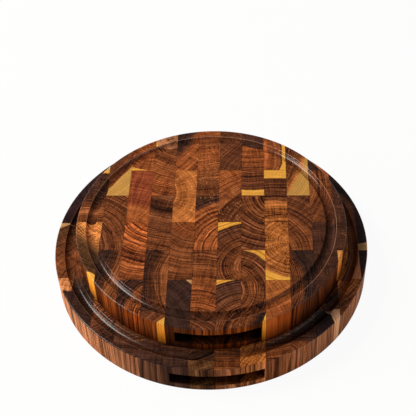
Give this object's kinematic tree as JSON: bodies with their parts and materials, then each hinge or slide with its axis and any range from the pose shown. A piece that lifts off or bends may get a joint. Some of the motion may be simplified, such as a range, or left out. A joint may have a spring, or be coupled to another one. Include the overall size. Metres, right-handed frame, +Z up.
{
  "type": "round chopping block set",
  "caption": "Two stacked round end-grain wooden chopping boards, a small one on a large one, each with a juice groove and finger slots.",
  "frame": {"origin": "centre of the large board's underside", "axes": "+Z up through both boards, the glued rows of blocks run along Y, -Y is the front with the finger slots"},
  "size_m": [0.354, 0.354, 0.071],
  "materials": {
    "large_board_acacia": "oiled satin",
    "small_board_acacia": "oiled satin"
  },
  "bodies": {
    "large_board": {"large_board_row_01": "large_board_acacia", "large_board_row_02": "large_board_acacia", "large_board_row_03": "large_board_acacia", "large_board_row_04": "large_board_acacia", "large_board_row_05": "large_board_acacia", "large_board_row_06": "large_board_acacia", "large_board_row_07": "large_board_acacia", "large_board_row_08": "large_board_acacia", "large_board_row_09": "large_board_acacia", "large_board_row_10": "large_board_acacia", "large_board_row_11": "large_board_acacia", "large_board_row_12": "large_board_acacia", "large_board_row_13": "large_board_acacia", "large_board_row_14": "large_board_acacia"},
    "small_board": {"small_board_row_01": "small_board_acacia", "small_board_row_02": "small_board_acacia", "small_board_row_03": "small_board_acacia", "small_board_row_04": "small_board_acacia", "small_board_row_05": "small_board_acacia", "small_board_row_06": "small_board_acacia", "small_board_row_07": "small_board_acacia", "small_board_row_08": "small_board_acacia", "small_board_row_09": "small_board_acacia", "small_board_row_10": "small_board_acacia", "small_board_row_11": "small_board_acacia", "small_board_row_12": "small_board_acacia"}
  },
  "joints": [
    {"name": "small_board_lift", "type": "slide", "parent": "large_board", "child": "small_board", "axis": [0, 0, 1], "range_m": [0, 0.12]}
  ]
}
